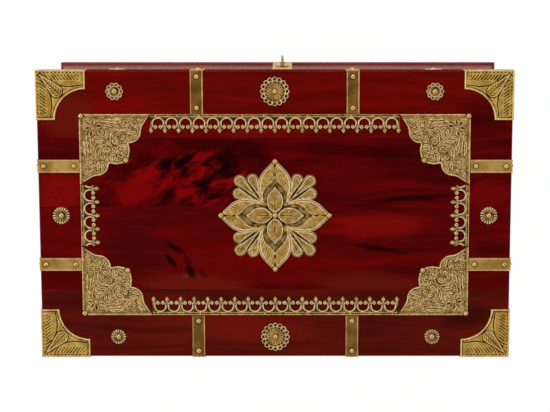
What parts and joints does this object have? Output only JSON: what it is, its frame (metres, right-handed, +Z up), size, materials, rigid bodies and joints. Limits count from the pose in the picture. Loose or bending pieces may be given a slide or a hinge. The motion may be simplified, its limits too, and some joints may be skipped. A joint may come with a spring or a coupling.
{
  "type": "dowry chest",
  "caption": "Low rectangular hardwood dowry chest in dark red lacquer with a hinged lid dressed in embossed brass, strap bands, domed nails, a base moulding and a hasp for a padlock.",
  "frame": {"origin": "middle of the underside, on the plane that the chest stands on", "axes": "+Z up, front with the hasp towards -Y, +X to the right of a person who faces the front"},
  "size_m": [0.466, 0.2972, 0.1805],
  "materials": {
    "lacquered_hardwood": "dark red glossy lacquer over straight grained hardwood",
    "embossed_brass": "embossed sheet brass, brown patina in the hollows, rubbed bright on the high spots",
    "sheet_brass": "plain sheet brass, slightly dulled",
    "polished_brass": "domed brass nail heads, rubbed bright",
    "hinge_brass": "extruded brass butt hinge",
    "pin_steel": "drawn steel wire"
  },
  "bodies": {
    "chest": {"front_board": "lacquered_hardwood", "back_board": "lacquered_hardwood", "left_end_board": "lacquered_hardwood", "right_end_board": "lacquered_hardwood", "bottom_board": "lacquered_hardwood", "plinth_front": "lacquered_hardwood", "plinth_back": "lacquered_hardwood", "plinth_left": "lacquered_hardwood", "plinth_right": "lacquered_hardwood", "body_straps_front": "sheet_brass", "body_straps_back": "sheet_brass", "body_straps_ends": "sheet_brass", "body_rosettes": "embossed_brass", "body_nails": "polished_brass", "staple": "polished_brass", "staple_plate": "sheet_brass", "staple_nails": "polished_brass", "hinge_leaves_lower": "hinge_brass", "hinge_pins": "pin_steel", "hinge_screws_lower": "hinge_brass"},
    "lid": {"lid_plank_1": "lacquered_hardwood", "lid_plank_2": "lacquered_hardwood", "lid_plank_3": "lacquered_hardwood", "lid_plank_4": "lacquered_hardwood", "lid_rim_front": "lacquered_hardwood", "lid_rim_back": "lacquered_hardwood", "lid_rim_left": "lacquered_hardwood", "lid_rim_right": "lacquered_hardwood", "corner_cap_front_left": "embossed_brass", "corner_cap_front_right": "embossed_brass", "corner_cap_back_right": "embossed_brass", "corner_cap_back_left": "embossed_brass", "filigree_front_left": "embossed_brass", "filigree_front_right": "embossed_brass", "filigree_back_right": "embossed_brass", "filigree_back_left": "embossed_brass", "lace_strip_front": "embossed_brass", "lace_strip_back": "embossed_brass", "lace_strip_left": "embossed_brass", "lace_strip_right": "embossed_brass", "centre_medallion": "embossed_brass", "large_rosette_front": "embossed_brass", "large_rosette_back": "embossed_brass", "front_rosettes": "embossed_brass", "end_rosettes": "embossed_brass", "back_rosettes": "embossed_brass", "rim_rosettes": "embossed_brass", "lid_straps_front": "sheet_brass", "lid_straps_back": "sheet_brass", "lid_straps_left": "sheet_brass", "lid_straps_right": "sheet_brass", "lid_nails": "polished_brass", "lid_pins": "polished_brass", "hinge_leaves_upper": "hinge_brass", "hinge_screws_upper": "hinge_brass", "hasp_leaf": "sheet_brass", "hasp_pin": "pin_steel", "hasp_nails": "polished_brass"},
    "hasp": {"hasp_tongue": "sheet_brass"}
  },
  "joints": [
    {"name": "lid_hinge", "type": "hinge", "parent": "chest", "child": "lid", "pos_m": [0, 0.1355, 0.136], "axis": [-1, 0, 0], "range_deg": [0, 100]},
    {"name": "hasp_hinge", "type": "hinge", "parent": "lid", "child": "hasp", "pos_m": [-0.0065, -0.14, 0.1341], "axis": [-1, 0, 0], "range_deg": [0, 140]}
  ]
}
